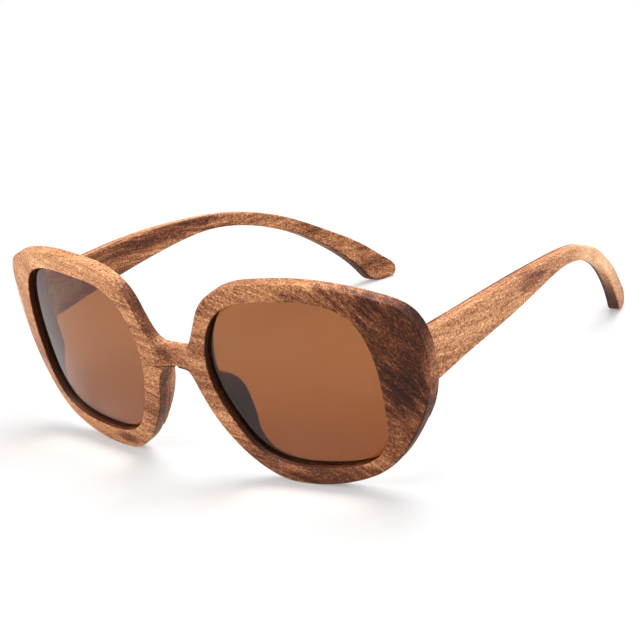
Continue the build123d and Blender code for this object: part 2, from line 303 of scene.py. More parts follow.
@dataclass
class FrontForm:
    """Sizes of the front in millimetres, and the surface that its plies follow."""

    lens_width: float = 50.2
    lens_height: float = 50.0
    lens_spacing: float = 24.4
    temporal_panel: float = 11.6
    brow: float = 4.8
    lower_rim: float = 5.8
    wrap_radius: float = 450.0
    end_setback: float = 9.2
    dome_radius: float = 195.0
    dome_mid_share: float = 0.475
    tilt: float = 9.1
    face_ply: float = 1.6
    core_ply: float = 1.6
    back_ply: float = 1.2
    end_angle: float = 10.8
    swell_start: float = 44.0
    swell_length: float = 16.0
    block_relief: float = 6.0
    scoop_depth: float = 1.2
    scoop_width: float = 15.0
    place_shift: Triple = (0.0, -75.313, 0.001)
    outline_shares: tuple[tuple[float, float], ...] = (
        (0.000, 0.644), (0.070, 0.653), (0.124, 0.738), (0.184, 0.878), (0.284, 0.961), (0.432, 0.994),
        (0.540, 1.000), (0.703, 0.980), (0.858, 0.921), (0.950, 0.847), (0.992, 0.734), (1.000, 0.602),
        (0.974, 0.416), (0.905, 0.248), (0.804, 0.109), (0.669, 0.034), (0.455, 0.000), (0.378, 0.011),
        (0.274, 0.085), (0.179, 0.225), (0.120, 0.370), (0.089, 0.475), (0.055, 0.532), (0.000, 0.547),
    )
    block_shares: tuple[tuple[float, float], ...] = (
        (0.06, 1.25), (0.20, 0.72), (0.33, 0.22), (0.43, -0.06), (0.60, -0.14), (0.76, -0.06),
        (0.83, 0.35), (0.90, 1.00), (0.95, 1.50),
    )
    opening_shares: tuple[tuple[float, float], ...] = (
        (-0.500, 0.074), (-0.476, 0.230), (-0.393, 0.382), (-0.275, 0.460), (-0.086, 0.493),
        (0.094, 0.502), (0.263, 0.480), (0.402, 0.400), (0.472, 0.260), (0.499, 0.064),
        (0.493, -0.146), (0.462, -0.320), (0.400, -0.411), (0.263, -0.473), (0.054, -0.497),
        (-0.145, -0.490), (-0.291, -0.424), (-0.406, -0.253), (-0.475, -0.080),
    )

    @property
    def half_width(self) -> float:
        """Half of the front's width."""
        return self.lens_spacing / 2 + self.lens_width + self.temporal_panel

    @property
    def rim_height(self) -> float:
        """Height of a rim."""
        return self.lower_rim + self.lens_height + self.brow

    @property
    def thickness(self) -> float:
        """Thickness of the three plies."""
        return self.face_ply + self.core_ply + self.back_ply

    @property
    def lens_middle(self) -> Points:
        """Middle of the wearer's left lens, across and up."""
        return np.array([self.lens_spacing + self.lens_width, 2 * self.lower_rim + self.lens_height]) / 2

    @property
    def opening(self) -> Curve:
        """Outline of the wearer's left lens opening, clockwise in the upright front."""
        shares = np.array(self.opening_shares)
        return Curve(shares * [self.lens_width, self.lens_height] + self.lens_middle, closed=True)

    def face_depth(self, x: Points) -> Points:
        """How far the face lies behind its middle, in plan."""
        return x**2 / (2 * self.wrap_radius) + self.end_setback * (x / self.half_width) ** 4

    def dome(self, z: Points) -> Points:
        """How far a level lies behind the fullest level."""
        return (z - self.dome_mid_share * self.rim_height) ** 2 / (2 * self.dome_radius)

    def seat_depth(self, x: Points) -> Points:
        """Depth of the flat seat for hinge and temple."""
        end = self.face_depth(self.half_width) + self.thickness
        return end - (self.half_width - x) * math.tan(math.radians(self.end_angle))

    def standing_drop(self) -> float:
        """How far the leaning front is lowered until its rims stand on the table."""
        low_x, low_z = min(self.outline_shares, key=lambda share: share[1])
        depth = self.face_depth(low_x * self.half_width) + self.dome(low_z * self.rim_height)
        return depth * math.sin(math.radians(self.tilt))

    def lay(self, flat: Points, depth: Points | float) -> Points:
        """Lays flat places, across and up, on the upright front at a depth under its face."""
        x, z = flat[..., 0], flat[..., 1]
        return np.stack([x, self.face_depth(x) + self.dome(z) + depth, z], -1)

    def stand(self, upright: Points) -> Points:
        """Leans points of the upright front and sets them in the frame."""
        lean = math.radians(self.tilt)
        x, y, z = np.moveaxis(upright, -1, 0)
        leaned = np.stack(
            [x, y * math.cos(lean) - z * math.sin(lean), y * math.sin(lean) + z * math.cos(lean)], -1
        )
        return leaned + [0, 0, -self.standing_drop()] + np.array(self.place_shift)


@dataclass
class RimStations:
    """Matching points round one half of the front, on the outer edge and the lens opening."""

    form: FrontForm
    edge_count: int = 300
    seam_count: int = 7
    hole_samples: int = 6000

    def __post_init__(self) -> None:
        """Works out the stations once."""
        form = self.form
        middle = form.lens_middle
        half = np.array(form.outline_shares) * [form.half_width, form.rim_height]
        loop = Curve(np.vstack([half, half[1:-1][::-1] * [-1, 1]]), closed=True)
        places = loop.even(self.edge_count, 0.0, loop.knots[len(half) - 1])
        self.edge = loop.at(places)
        self.edge[[0, -1], 0] = 0
        self.edge_normal = away_from(middle, self.edge, loop.normals(places))
        self.edge_normal[[0, -1]] = (0, 1), (0, -1)
        hole = form.opening
        fine = np.linspace(0, hole.knots[-1], self.hole_samples)
        turns = self._turns(hole.at(fine) - middle)
        wanted = self._turns(np.vstack([self.edge, self._seam(self.edge)]) - middle)
        places = np.interp(np.mod(turns[0] - wanted, turns[0] - turns[-1]), turns[0] - turns, fine)
        self.hole = hole.at(places)
        self.hole_normal = away_from(middle, self.hole, hole.normals(places))

    @staticmethod
    def _turns(spokes: Points) -> Points:
        """Angles of spokes, without jumps."""
        return np.unwrap(np.arctan2(spokes[:, 1], spokes[:, 0]))

    def _seam(self, edge: Points) -> Points:
        """Points on the middle line of the bridge, from its underside to its top."""
        shares = np.linspace(0, 1, self.seam_count + 2)[1:-1, None]
        return edge[-1] + (edge[0] - edge[-1]) * shares

    def outer(self, inset: float) -> Points:
        """Outer ring, drawn in by an inset, closed across the bridge's middle line."""
        edge = self.edge - inset * self.edge_normal
        return np.vstack([edge, self._seam(edge)])

    def inner(self, grow: float) -> Points:
        """Ring at the lens opening, grown into the wood."""
        return self.hole + grow * self.hole_normal


@dataclass
class Front:
    """Plies, lenses, nose pads and end blocks of the front."""

    form: FrontForm
    stations: RimStations
    face_round: float = 0.45
    back_round: float = 0.8
    hole_round: float = 0.3
    glue_round: float = 0.05
    lens_thickness: float = 1.4
    lens_bite: float = 0.9
    lens_play: float = 0.1
    lens_count: int = 180
    lens_rings: int = 14
    across_steps: int = 12
    block_samples: int = 241
    block_edge_shares: tuple[float, ...] = (0.0, 0.005, 0.015, 0.03, 0.05, 0.08)
    block_mid_shares: tuple[float, float, int] = (0.12, 0.88, 16)
    relief_samples: int = 200
    pad_least_x: float = 1.0
    pad_foot: float = 8.8
    pad_height: float = 22.6
    pad_depth: float = 5.6
    pad_flare: float = 22.0
    pad_step: float = 0.7
    pad_round: float = 1.3
    pad_round_share: float = 0.6
    pad_levels: int = 61
    pad_corner_count: int = 7
    pad_wall_steps: int = 4
    pad_shares: tuple[tuple[float, float], ...] = (
        (0.0, 0.0), (0.24, 0.46), (0.50, 0.88), (0.70, 1.0), (0.88, 0.72), (1.0, 0.0),
    )

    def ply(
        self,
        front: float,
        back: float,
        rounds: tuple[float, float, float, float],
        grow: float = 0.0,
        scooped: bool = False,
        dark_part: Char = Char.WALL,
    ) -> MeshDraft:
        """Drafts the left half of one ply, open where both halves meet in the bridge.

        Args:
            front: depth of its front under the face.
            back: depth of its back.
            rounds: edge radii at outer front, outer back, inner front and inner back.
            grow: how much larger than the lens opening its hole is.
            scooped: whether the bridge hollow is cut into its front.
            dark_part: which part of its opening takes the second material slot.

        Returns:
            The draft.
        """
        outer_front, outer_back, inner_front, inner_back = rounds
        inner, outer = self.stations.inner, self.stations.outer
        rings = [(inner(grow + inset), front + depth) for inset, depth in corner_steps(inner_front)]
        lip = len(rings)
        rings += self._strip(grow + max(self.lens_bite, inner_front), outer_front, front)
        wall_start = len(rings)
        rings += [(outer(inset), front + depth) for inset, depth in corner_steps(outer_front)[::-1]]
        rings += [(outer(inset), back - depth) for inset, depth in corner_steps(outer_back)]
        wall_end = len(rings) - 1
        rings += self._strip(grow + inner_back, outer_back, back)[::-1]
        hole_wall = len(rings) + 2
        rings += [(inner(grow + inset), back - depth) for inset, depth in corner_steps(inner_back)[::-1]]
        rings.append(rings[0])
        grid = np.array([self.form.lay(ring, depth) for ring, depth in rings])
        if scooped:
            for points, (ring, depth) in zip(grid, rings):
                points[:, 1] = np.maximum(points[:, 1], self._scoop(ring[:, 0], depth - front))
        draft = MeshDraft()
        index = draft.add(self.form.stand(grid), closed=True)
        draft.quads(index[: lip + 1], slot=int(dark_part is Char.LIP))
        draft.quads(index[lip : wall_start + 1])
        # The wall stays open along the seam, where the other half joins it.
        draft.quads(index[wall_start : wall_end + 1, : self.stations.edge_count])
        draft.quads(index[wall_end : hole_wall + 1])
        draft.quads(index[hole_wall:], slot=1)
        return draft

    def _strip(self, grow: float, inset: float, depth: float) -> Rings:
        """Rings of a flat between the opening and the outer edge.

        Args:
            grow: how far into the wood the first ring lies.
            inset: how far the outer edge, which follows the last ring, is drawn in.
            depth: their depth.

        Returns:
            Rings and depths, from the opening outward.
        """
        inner, outer = self.stations.inner(grow), self.stations.outer(inset)
        shares = [step / self.across_steps for step in range(self.across_steps)]
        return [(inner + (outer - inner) * share, depth) for share in shares]

    def _scoop(self, x: Points, extra: float) -> Points:
        """Least depth that the bridge hollow allows.

        Args:
            x: places across.
            extra: how far below the surface the point lies.

        Returns:
            The depths.
        """
        radius = (self.form.scoop_width**2 / 4 + self.form.scoop_depth**2) / (2 * self.form.scoop_depth)
        inside = np.sqrt(np.maximum(radius**2 - x**2, 0))
        return self.form.scoop_depth - radius + inside + min(extra, self.face_round)

    def _block_lift(self, flat: Points) -> Points:
        """How far an end block stands behind the back of the plies, below zero where there is none."""
        form = self.form
        x, z = flat[..., 0], flat[..., 1]
        plan = form.face_depth(x) + form.thickness
        lead = plan - form.back_ply / 2
        ramp = lead + (form.seat_depth(x) - lead) * smooth((x - form.swell_start) / form.swell_length)
        crest = Curve(form.block_shares)
        run = crest.at(crest.even(self.relief_samples))
        relief = np.interp(z / form.rim_height, run[:, 0], run[:, 1]) * form.block_relief
        return np.minimum(ramp, form.seat_depth(x) - relief) - plan - form.dome(z)

    def end_block(self) -> MeshDraft:
        """Drafts the block behind the left temporal end, with softly rounded back edges."""
        form = self.form
        inner, outer = self.stations.inner(0), self.stations.outer(0)
        fine = np.linspace(0, 1, self.block_samples)
        rim = np.array(self.block_edge_shares)
        shares = np.concatenate([rim, np.linspace(*self.block_mid_shares), 1 - rim[::-1]])
        columns = []
        for start, end in zip(inner[: self.stations.edge_count], outer):
            spoke = end - start
            reach = float(np.linalg.norm(spoke))
            if min(start[0], end[0]) < form.swell_start:
                continue
            present = fine[self._block_lift(start + spoke * fine[:, None]) > 0]
            if len(present) < 2 or (present[-1] - present[0]) * reach < self.hole_round:
                continue
            along = present[0] + (present[-1] - present[0]) * shares
            flat = start + spoke * along[:, None]
            lift = np.maximum(self._block_lift(flat), 0)
            for radius, away in ((self.hole_round, along * reach), (self.back_round, (1 - along) * reach)):
                near = np.minimum(radius, lift)
                gap = near - np.minimum(away, near)
                lift = lift - near + np.sqrt(np.maximum(near**2 - gap**2, 0))
            lift = np.concatenate([[0.0], lift, 0 * lift])
            columns.append(form.lay(np.concatenate([flat[:1], flat, flat[::-1]]), form.thickness + lift))
        draft = MeshDraft()
        index = draft.add(form.stand(np.array(columns)).transpose(1, 0, 2))
        draft.quads(index)
        for end in (0, -1):
            draft.face(index[:-1, end])
        return draft

    def lens(self) -> MeshDraft:
        """Drafts the left lens, its ground edge in the second material slot."""
        form = self.form
        middle, hole = form.lens_middle, form.opening
        places = hole.even(self.lens_count + 1)[:-1]
        edge = hole.at(places)
        edge = edge + away_from(middle, edge, hole.normals(places)) * (self.lens_bite - self.lens_play)
        shares = np.arange(self.lens_rings + 1)[:, None, None] / self.lens_rings
        front = form.face_ply + (form.core_ply - self.lens_thickness) / 2
        draft = MeshDraft()
        rims = []
        for depth in (front, front + self.lens_thickness):
            index = draft.add(form.stand(form.lay(middle + (edge - middle) * shares, depth)), closed=True)
            draft.quads(index)
            rims.append(index[-1])
        draft.quads(np.array(rims), slot=1)
        return draft

    def nose_pad(self) -> MeshDraft:
        """Drafts the left nose pad: a fin behind the nasal rim that flares off the nose."""
        lens_x = self.form.lens_middle[0]
        edge, hole = self.stations.edge, self.stations.hole
        nasal_edge = edge[len(edge) // 2 :]
        nasal_edge = nasal_edge[(nasal_edge[:, 0] < lens_x) & (nasal_edge[:, 0] > self.pad_least_x)]
        nasal_hole = hole[hole[:, 0] < lens_x]
        crest = Curve(self.pad_shares)
        rows = []
        for along, share in crest.at(crest.even(self.pad_levels)):
            z = self.pad_foot + min(max(along, 0), 1) * self.pad_height
            left, right = self._across(nasal_edge, z), self._across(nasal_hole, z)
            rows.append(self._pad_section(left, right, z, max(share, 0) * self.pad_depth))
        draft = MeshDraft()
        index = draft.add(self.form.stand(np.array(rows)), closed=True)
        draft.quads(index)
        for end in (0, -1):
            draft.face(index[end, :-1])
        return draft

    @staticmethod
    def _across(run: Points, z: float) -> float:
        """Place across where a run of points passes a level."""
        rising = run[np.argsort(run[:, 1])]
        return float(np.interp(z, rising[:, 1], rising[:, 0]))

    def _pad_section(self, left: float, right: float, z: float, height: float) -> Points:
        """Closed section of a nose pad at one level.

        Args:
            left: nose side of the rim across.
            right: lens side of the rim across.
            z: level.
            height: how far the pad stands behind the rim there.

        Returns:
            The section's points, upright.
        """
        radius = min(self.pad_round, height * self.pad_round_share)
        turns = np.linspace(0, math.pi / 2, self.pad_corner_count)
        inset, rise = radius * (1 - np.cos(turns)), height - radius * (1 - np.sin(turns))
        crest = [np.stack([left + inset, rise], 1), np.stack([right - inset, rise], 1)[::-1]]
        top = height - radius
        corners = np.array([[right, top], [right, 0.0], [left, 0.0], [left, top]])
        shares = np.linspace(0, 1, self.pad_wall_steps + 1)[1:, None]
        walls = [start + (end - start) * shares for start, end in zip(corners, corners[1:])]
        x, rise = np.vstack([*crest, *walls])[:-1].T
        upright_rise = np.minimum(rise, self.pad_step)
        foot = self.form.lay(np.stack([x, 0 * x + z], 1), self.form.thickness + upright_rise)
        flare = math.radians(self.pad_flare)
        return foot + np.outer(np.maximum(rise - self.pad_step, 0), [math.sin(flare), math.cos(flare), 0])

    def build(self) -> dict[str, bpy.types.Object]:
        """Builds every piece of the front.

        Returns:
            Pieces by the CAD node that each stands for.
        """
        form, glue = self.form, self.glue_round
        core_back = form.face_ply + form.core_ply
        face_rounds = (self.face_round, glue, self.hole_round, glue)
        back_rounds = (glue, self.back_round, glue, self.hole_round)
        groove = self.lens_bite - self.lens_play / 2
        plies = {
            "face": self.ply(0.0, form.face_ply, face_rounds, scooped=True),
            "core": self.ply(form.face_ply, core_back, (glue,) * 4, groove, dark_part=Char.LIP),
            "back": self.ply(core_back, form.thickness, back_rounds, dark_part=Char.LIP),
        }
        pieces = {
            f"front_{place}_ply": draft.build(f"rim_{place}", both=True) for place, draft in plies.items()
        }
        return pieces | on_both_sides(
            {
                "end_block": ("hinge_block", self.end_block()),
                "lens": ("tinted_lens", self.lens()),
                "nose_pad": ("pad", self.nose_pad()),
            }
        )


@dataclass
class Temple:
    """One bent temple: its outer and inner ply."""

    form: FrontForm
    inset: float = 2.0
    length: float = 145.4
    top: float = 45.0
    outer_ply: float = 3.1
    inner_ply: float = 1.0
    straight: float = 30.5
    bend_radius: float = 268.0
    bend_angle: float = 20.2
    butt_gap: float = 0.3
    hinge_height: float = 38.2
    edge_round: float = 0.7
    lining_round: float = 0.45
    glue_round: float = 0.1
    station_count: int = 150
    across_steps: int = 10
    corner_flats: int = 4
    shares: tuple[tuple[float, float], ...] = (
        (-0.050, 1.000), (0.155, 0.998), (0.290, 0.993), (0.405, 0.968), (0.514, 0.926), (0.622, 0.849),
        (0.725, 0.713), (0.820, 0.530), (0.909, 0.332), (0.969, 0.162), (0.990, 0.075), (0.986, 0.020),
        (0.962, 0.000), (0.926, 0.022), (0.908, 0.090), (0.872, 0.233), (0.821, 0.386), (0.747, 0.562),
        (0.662, 0.698), (0.575, 0.791), (0.493, 0.830), (0.413, 0.824), (0.305, 0.793), (0.197, 0.756),
        (0.096, 0.720), (-0.050, 0.680),
    )
    tip_share_index: int = 11

    @property
    def outer_x(self) -> float:
        """Place across of the outer side near the hinge."""
        return self.form.half_width - self.inset

    @property
    def start(self) -> float:
        """Depth of the leaning seat beside the hinge, where the temple begins."""
        lean = math.radians(self.form.tilt)
        drop = (self.hinge_height + self.form.standing_drop()) * math.tan(lean)
        return self.form.seat_depth(self.outer_x) / math.cos(lean) - drop

    def butt_y(self, x: Points, z: Points) -> Points:
        """Depth of the temple's cut end, parallel to the seat with a small gap."""
        lean, turn = math.radians(self.form.tilt), math.radians(self.form.end_angle)
        normal = np.array([-math.sin(turn), math.cos(turn) * math.cos(lean), math.cos(turn) * math.sin(lean)])
        away = self.butt_gap - normal[0] * (x - self.outer_x) - normal[2] * (z - self.hinge_height)
        return self.start + away / normal[1]

    def board_x(self, y: Points, depth: float) -> Points:
        """Place across of the bent board at a depth under its outer side.

        Args:
            y: places along.
            depth: how deep under the outer side.

        Returns:
            The places across.
        """
        bend = self.start + self.straight
        angle = math.radians(self.bend_angle)
        radius = self.bend_radius - depth
        centre = self.outer_x - self.bend_radius
        run = np.clip(y - bend, 0, radius * math.sin(angle))
        arc = centre + np.sqrt(radius**2 - run**2)
        past = np.maximum(y - bend - radius * math.sin(angle), 0)
        return arc - past * math.tan(angle)

    def _ladder(self, inset: float) -> tuple[Points, Points]:
        """Top and underside of the side view, drawn in by an inset.

        Args:
            inset: distance inward from the outline.

        Returns:
            Matching points along the top and the underside, ending at the tip.
        """
        outline = Curve(np.array(self.shares) * [self.length, self.top] + [self.start, 0.0])
        tip = outline.knots[self.tip_share_index]
        top = outline.even(self.station_count, 0.0, tip)
        under = outline.even(self.station_count, tip)[::-1]
        return tuple(outline.at(places) - inset * outline.normals(places) for places in (top, under))

    def _sheet(self, side_view: Points, depth: float) -> Points:
        """Lays side-view points on the bent board at a depth.

        Args:
            side_view: rows of stations, each with y and z.
            depth: how deep under the outer side.

        Returns:
            The points in the frame.
        """
        y, z = side_view[..., 0].copy(), side_view[..., 1]
        butt = self.butt_y(self.outer_x - depth, z[0])
        high = self.start + self.straight / 2
        y = y + np.clip((high - y) / (high - y[0]), 0, 1) * (butt - y[0])
        return np.stack([self.board_x(y, depth), y, z], -1) + np.array(self.form.place_shift)

    def ply(self, near: float, far: float, rounds: tuple[float, float]) -> MeshDraft:
        """Drafts one ply of the left temple as a closed bent plate, its glued edges in the second slot.

        Args:
            near: depth of its outer side.
            far: depth of its inner side.
            rounds: edge radii on the outer and inner side.

        Returns:
            The draft.
        """
        draft = MeshDraft()
        shells = []
        for radius, depth, sense in ((rounds[0], near, 1), (rounds[1], far, -1)):
            edges = []
            for inset, rise in corner_steps(radius, self.corner_flats):
                edges.append([self._sheet(side, depth + sense * rise) for side in self._ladder(inset)])
            top, under = self._ladder(radius)
            shares = [step / self.across_steps for step in range(self.across_steps + 1)]
            rows = np.array([self._sheet(top + (under - top) * share, depth) for share in shares])
            draft.quads(draft.add(rows))
            for edge in zip(*edges):
                draft.quads(draft.add(np.array(edge)), slot=int(radius == self.glue_round))
            shells.append((edges, rows))
        for outer_wall, inner_wall in zip(shells[0][0][0], shells[1][0][0]):
            draft.quads(draft.add(np.array([outer_wall, inner_wall])))
        draft.face(draft.add(self._butt_loop(shells)))
        return draft

    @staticmethod
    def _butt_loop(shells: list[tuple[list[list[Points]], Points]]) -> Points:
        """Outline of the plate's cut end.

        Args:
            shells: edge rounding, as pairs of top and underside, and rows of the outer and inner side.

        Returns:
            The loop's points.
        """
        (outer_edges, outer_rows), (inner_edges, inner_rows) = shells
        outer_top, outer_under = ([edge[number][0] for edge in outer_edges[:-1]] for number in (0, 1))
        inner_top, inner_under = ([edge[number][0] for edge in inner_edges[:-1]] for number in (0, 1))
        loop = [row[0] for row in outer_rows] + outer_under[::-1] + inner_under
        return np.array(loop + [row[0] for row in inner_rows[::-1]] + inner_top[::-1] + outer_top)

    def build(self) -> dict[str, bpy.types.Object]:
        """Builds both temples.

        Returns:
            Pieces by the CAD node that each stands for.
        """
        thickness = self.outer_ply + self.inner_ply
        board = self.ply(0.0, self.outer_ply, (self.edge_round, self.glue_round))
        lining = self.ply(self.outer_ply, thickness, (self.glue_round, self.lining_round))
        return on_both_sides(
            {"temple_outer_ply": ("arm_board", board), "temple_inner_ply": ("arm_lining", lining)}
        )


class Sock:
    """A shader value that takes part in Python expressions."""

    def __init__(self, shader: "Shader", socket: bpy.types.NodeSocket) -> None:
        """Wraps an output socket of a shader's tree."""
        self.shader = shader
        self.socket = socket

    def math(self, operation: str, other: "Sock | float") -> "Sock":
        """Adds a Math node that takes this value and another."""
        return self.shader.node("ShaderNodeMath", {"operation": operation}, {0: self, 1: other})

    def __add__(self, other: "Sock | float") -> "Sock":
        """Sum."""
        return self.math("ADD", other)

    def __sub__(self, other: "Sock | float") -> "Sock":
        """Difference."""
        return self.math("SUBTRACT", other)

    def __mul__(self, other: "Sock | float") -> "Sock":
        """Product."""
        return self.math("MULTIPLY", other)

    def swing(self, reach: float) -> "Sock":
        """Turns a noise of 0 to 1 into a swing round zero."""
        return (self - 0.5) * (2 * reach)

    def ramped(self, low: float, high: float, to_low: float = 0.0, to_high: float = 1.0) -> "Sock":
        """Smoothly maps a stretch of the value to another.

        Args:
            low: start of the stretch.
            high: its end.
            to_low: result at the start.
            to_high: result at the end.

        Returns:
            The mapped value.
        """
        return self.shader.node(
            "ShaderNodeMapRange",
            {"interpolation_type": "SMOOTHSTEP"},
            {"Value": self, "From Min": low, "From Max": high, "To Min": to_low, "To Max": to_high},
        )


Value = Sock | float | tuple[float, ...]


class Shader:
    """One node tree, of a material or of the world."""

    def __init__(self, owner: bpy.types.Material | bpy.types.World) -> None:
        """Starts an empty tree in its owner."""
        owner.use_nodes = True
        self.owner = owner
        self.tree = owner.node_tree
        self.tree.nodes.clear()

    @classmethod
    def named(cls, name: str) -> "Shader":
        """Starts a new material of that name."""
        return cls(bpy.data.materials.new(name))

    def node(
        self,
        kind: str,
        settings: dict[str, object],
        inputs: dict[str | int, Value],
        output: int | str = 0,
    ) -> Sock:
        """Adds any node.

        Args:
            kind: the node's type.
            settings: its settings, or the stops of a ramp under "stops".
            inputs: values or links of its sockets.
            output: which output to return.

        Returns:
            The wrapped output.
        """
        node = self.tree.nodes.new(kind)
        for name, value in settings.items():
            if name == "stops":
                self._set_stops(node, value)
            else:
                setattr(node, name, value)
        for name, value in inputs.items():
            socket = node.inputs[name]
            if isinstance(value, Sock):
                self.tree.links.new(value.socket, socket)
            else:
                socket.default_value = value
        return Sock(self, node.outputs[output] if len(node.outputs) else None)

    @staticmethod
    def _set_stops(node: bpy.types.Node, stops: Sequence[tuple[float, Triple]]) -> None:
        """Sets a colour ramp's stops."""
        elements = node.color_ramp.elements
        while len(elements) < len(stops):
            elements.new(1.0)
        for element, (place, colour) in zip(elements, stops):
            element.position = place
            element.color = (*colour, 1.0)

    def spot(self) -> Sock:
        """Place on the object, in metres."""
        return self.node("ShaderNodeTexCoord", {}, {}, "Object")

    def part(self, value: Sock, axis: int) -> Sock:
        """One component of a vector."""
        return self.node("ShaderNodeSeparateXYZ", {}, {0: value}, axis)

    def vector(self, operation: str, *values: Value, output: int | str = 0) -> Sock:
        """Adds a Vector Math node."""
        return self.node("ShaderNodeVectorMath", {"operation": operation}, dict(enumerate(values)), output)

    def noise(self, place: Sock, scales: Triple, octaves: float = 2.0) -> Sock:
        """Adds noise with its own scale, in features for each unit, along each axis."""
        drawn = self.vector("MULTIPLY", place, scales)
        return self.node("ShaderNodeTexNoise", {}, {"Vector": drawn, "Scale": 1.0, "Detail": octaves})

    def ramp(self, stops: Sequence[tuple[float, Triple]], value: Sock) -> Sock:
        """Adds a colour ramp."""
        return self.node("ShaderNodeValToRGB", {"stops": stops}, {"Fac": value})

    def principled(self, inputs: dict[str | int, Value]) -> bpy.types.Material:
        """Ends the material with the principled surface."""
        return self.finish(self.node("ShaderNodeBsdfPrincipled", {}, inputs))

    def finish(self, surface: Sock) -> bpy.types.Material:
        """Links the surface to the material's output."""
        self.node("ShaderNodeOutputMaterial", {}, {"Surface": surface})
        return self.owner


def linear(red: int, green: int, blue: int) -> Triple:
    """Turns a screen colour of 0 to 255 into linear light."""
    shares = [channel / 255 for channel in (red, green, blue)]
    return tuple(share / 12.92 if share <= 0.04045 else ((share + 0.055) / 1.055) ** 2.4 for share in shares)


@dataclass(frozen=True)
class Figure:
    """A darker or lighter patch, of grain on some and of painted light and shade on others: its place and
    reach in millimetres, and its strength.
    """

    place: Triple
    reach: Triple
    strength: float


@dataclass(frozen=True)
class WoodFinish:
    """Oiled, finely sanded hardwood with streaked grain, and patches of darker or lighter grain and of
    painted light and shade.

    The grain runs along one axis with a slope, and curves down beyond a place where the board was
    cut from under a knot. End grain, where a wall cuts across it, is darker. Noise scales are
    features for each millimetre along the grain and across it, tones are shares of the ramp.
    """

    name: str
    tones: tuple[tuple[float, tuple[int, int, int]], ...] = (
        (0.00, (44, 19, 9)), (0.20, (78, 38, 20)), (0.38, (118, 68, 41)), (0.54, (158, 103, 67)),
        (0.70, (196, 140, 96)), (0.86, (222, 172, 126)), (1.00, (240, 200, 156)),
    )
    along: int = 0
    slope: float = 0.25
    curl: float = 0.020
    curl_start: float = 36.0
    drift_scale: float = 0.04
    drift_reach: Triple = (0.0, 6.0, 6.0)
    tone: float = 0.55
    broad_share: float = 0.8
    broad_scales: Triple = (0.012, 0.10, 0.13)
    streaks: float = 0.21
    streak_scales: Triple = (0.02, 0.45, 0.60)
    fibres: float = 0.20
    fibre_scales: Triple = (0.10, 1.8, 2.4)
    stipple: float = 0.40
    stipple_scales: Triple = (1.7, 2.3, 2.3)
    pores: float = 0.2
    pore_scales: Triple = (0.45, 3.2, 3.8)
    pore_levels: tuple[float, float] = (0.60, 0.72)
    end_grain: float = 0.22
    end_grain_levels: tuple[float, float] = (0.15, 0.60)
    figures: tuple[Figure, ...] = ()
    figure_wander: Triple = (2.0, 2.0, 2.0)
    figure_fray: float = 0.35
    figure_levels: tuple[float, float] = (1.25, 0.55)
    relief: float = 0.06
    relief_strength: float = 0.35
    relief_fibres: float = 0.5
    relief_stipple: float = 0.6
    roughness: float = 0.5
    specular: float = 0.16

    def material(self) -> bpy.types.Material:
        """Makes the wood material."""
        shader = Shader.named(self.name)
        place = shader.vector("MULTIPLY", shader.spot(), (1 / MM, 1 / MM, 1 / MM))
        grain = self._grain(shader, place)
        drift = shader.node(
            "ShaderNodeTexNoise", {}, {"Vector": grain, "Scale": self.drift_scale, "Detail": 2.0}, "Color"
        )
        bent = shader.vector("MULTIPLY_ADD", drift, self.drift_reach, grain)
        broad = shader.noise(bent, self.broad_scales)
        streak = shader.noise(bent, self.streak_scales)
        fibre = shader.noise(bent, self.fibre_scales)
        stipple = shader.noise(grain, self.stipple_scales, 1.0)
        pits = shader.noise(bent, self.pore_scales, 1.0).ramped(*self.pore_levels)
        tone = broad.swing(self.broad_share * self.streaks) + streak.swing(self.streaks) + self.tone
        tone = tone + fibre.swing(self.fibres) + stipple.swing(self.stipple)
        for figure in self.figures:
            tone = tone + self._patch(shader, place, drift, streak, figure)
        cut = shader.part(shader.node("ShaderNodeTexCoord", {}, {}, "Normal"), self.along)
        tone = tone - (cut * cut).ramped(*self.end_grain_levels, 0.0, self.end_grain) - pits * self.pores
        height = fibre * self.relief_fibres + stipple * self.relief_stipple - pits
        bump = shader.node(
            "ShaderNodeBump",
            {},
            {"Height": height, "Strength": self.relief_strength, "Distance": self.relief * MM},
        )
        return shader.principled(
            {
                "Base Color": shader.ramp([(share, linear(*tint)) for share, tint in self.tones], tone),
                "Roughness": self.roughness,
                "Specular IOR Level": self.specular,
                "Normal": bump,
            }
        )

    def _grain(self, shader: Shader, place: Sock) -> Sock:
        """Turns coordinates in millimetres into ones whose first axis follows the grain."""
        run, side, up = (shader.part(place, axis) for axis in (self.along, 1 - self.along, 2))
        past = (run - self.curl_start).math("MAXIMUM", 0.0)
        across = up + run * self.slope + past * past * self.curl
        return shader.node("ShaderNodeCombineXYZ", {}, {0: run, 1: side, 2: across})

    def _patch(self, shader: Shader, place: Sock, drift: Sock, streak: Sock, figure: Figure) -> Sock:
        """Soft ellipsoid of changed tone, for grain and for painted light and shade, with a wandering,
        streaked edge.

        Args:
            shader: the tree.
            place: coordinates in millimetres.
            drift: noise that bends the edge.
            streak: noise along the grain that frays it.
            figure: the patch.

        Returns:
            The change of tone.
        """
        away = shader.vector("SUBTRACT", place, figure.place)
        bent = shader.vector("MULTIPLY_ADD", drift, self.figure_wander, away)
        shares = shader.vector("MULTIPLY", bent, tuple(1 / reach for reach in figure.reach))
        distance = shader.vector("LENGTH", shares, output="Value")
        return (distance + streak.swing(self.figure_fray)).ramped(*self.figure_levels, 0.0, figure.strength)


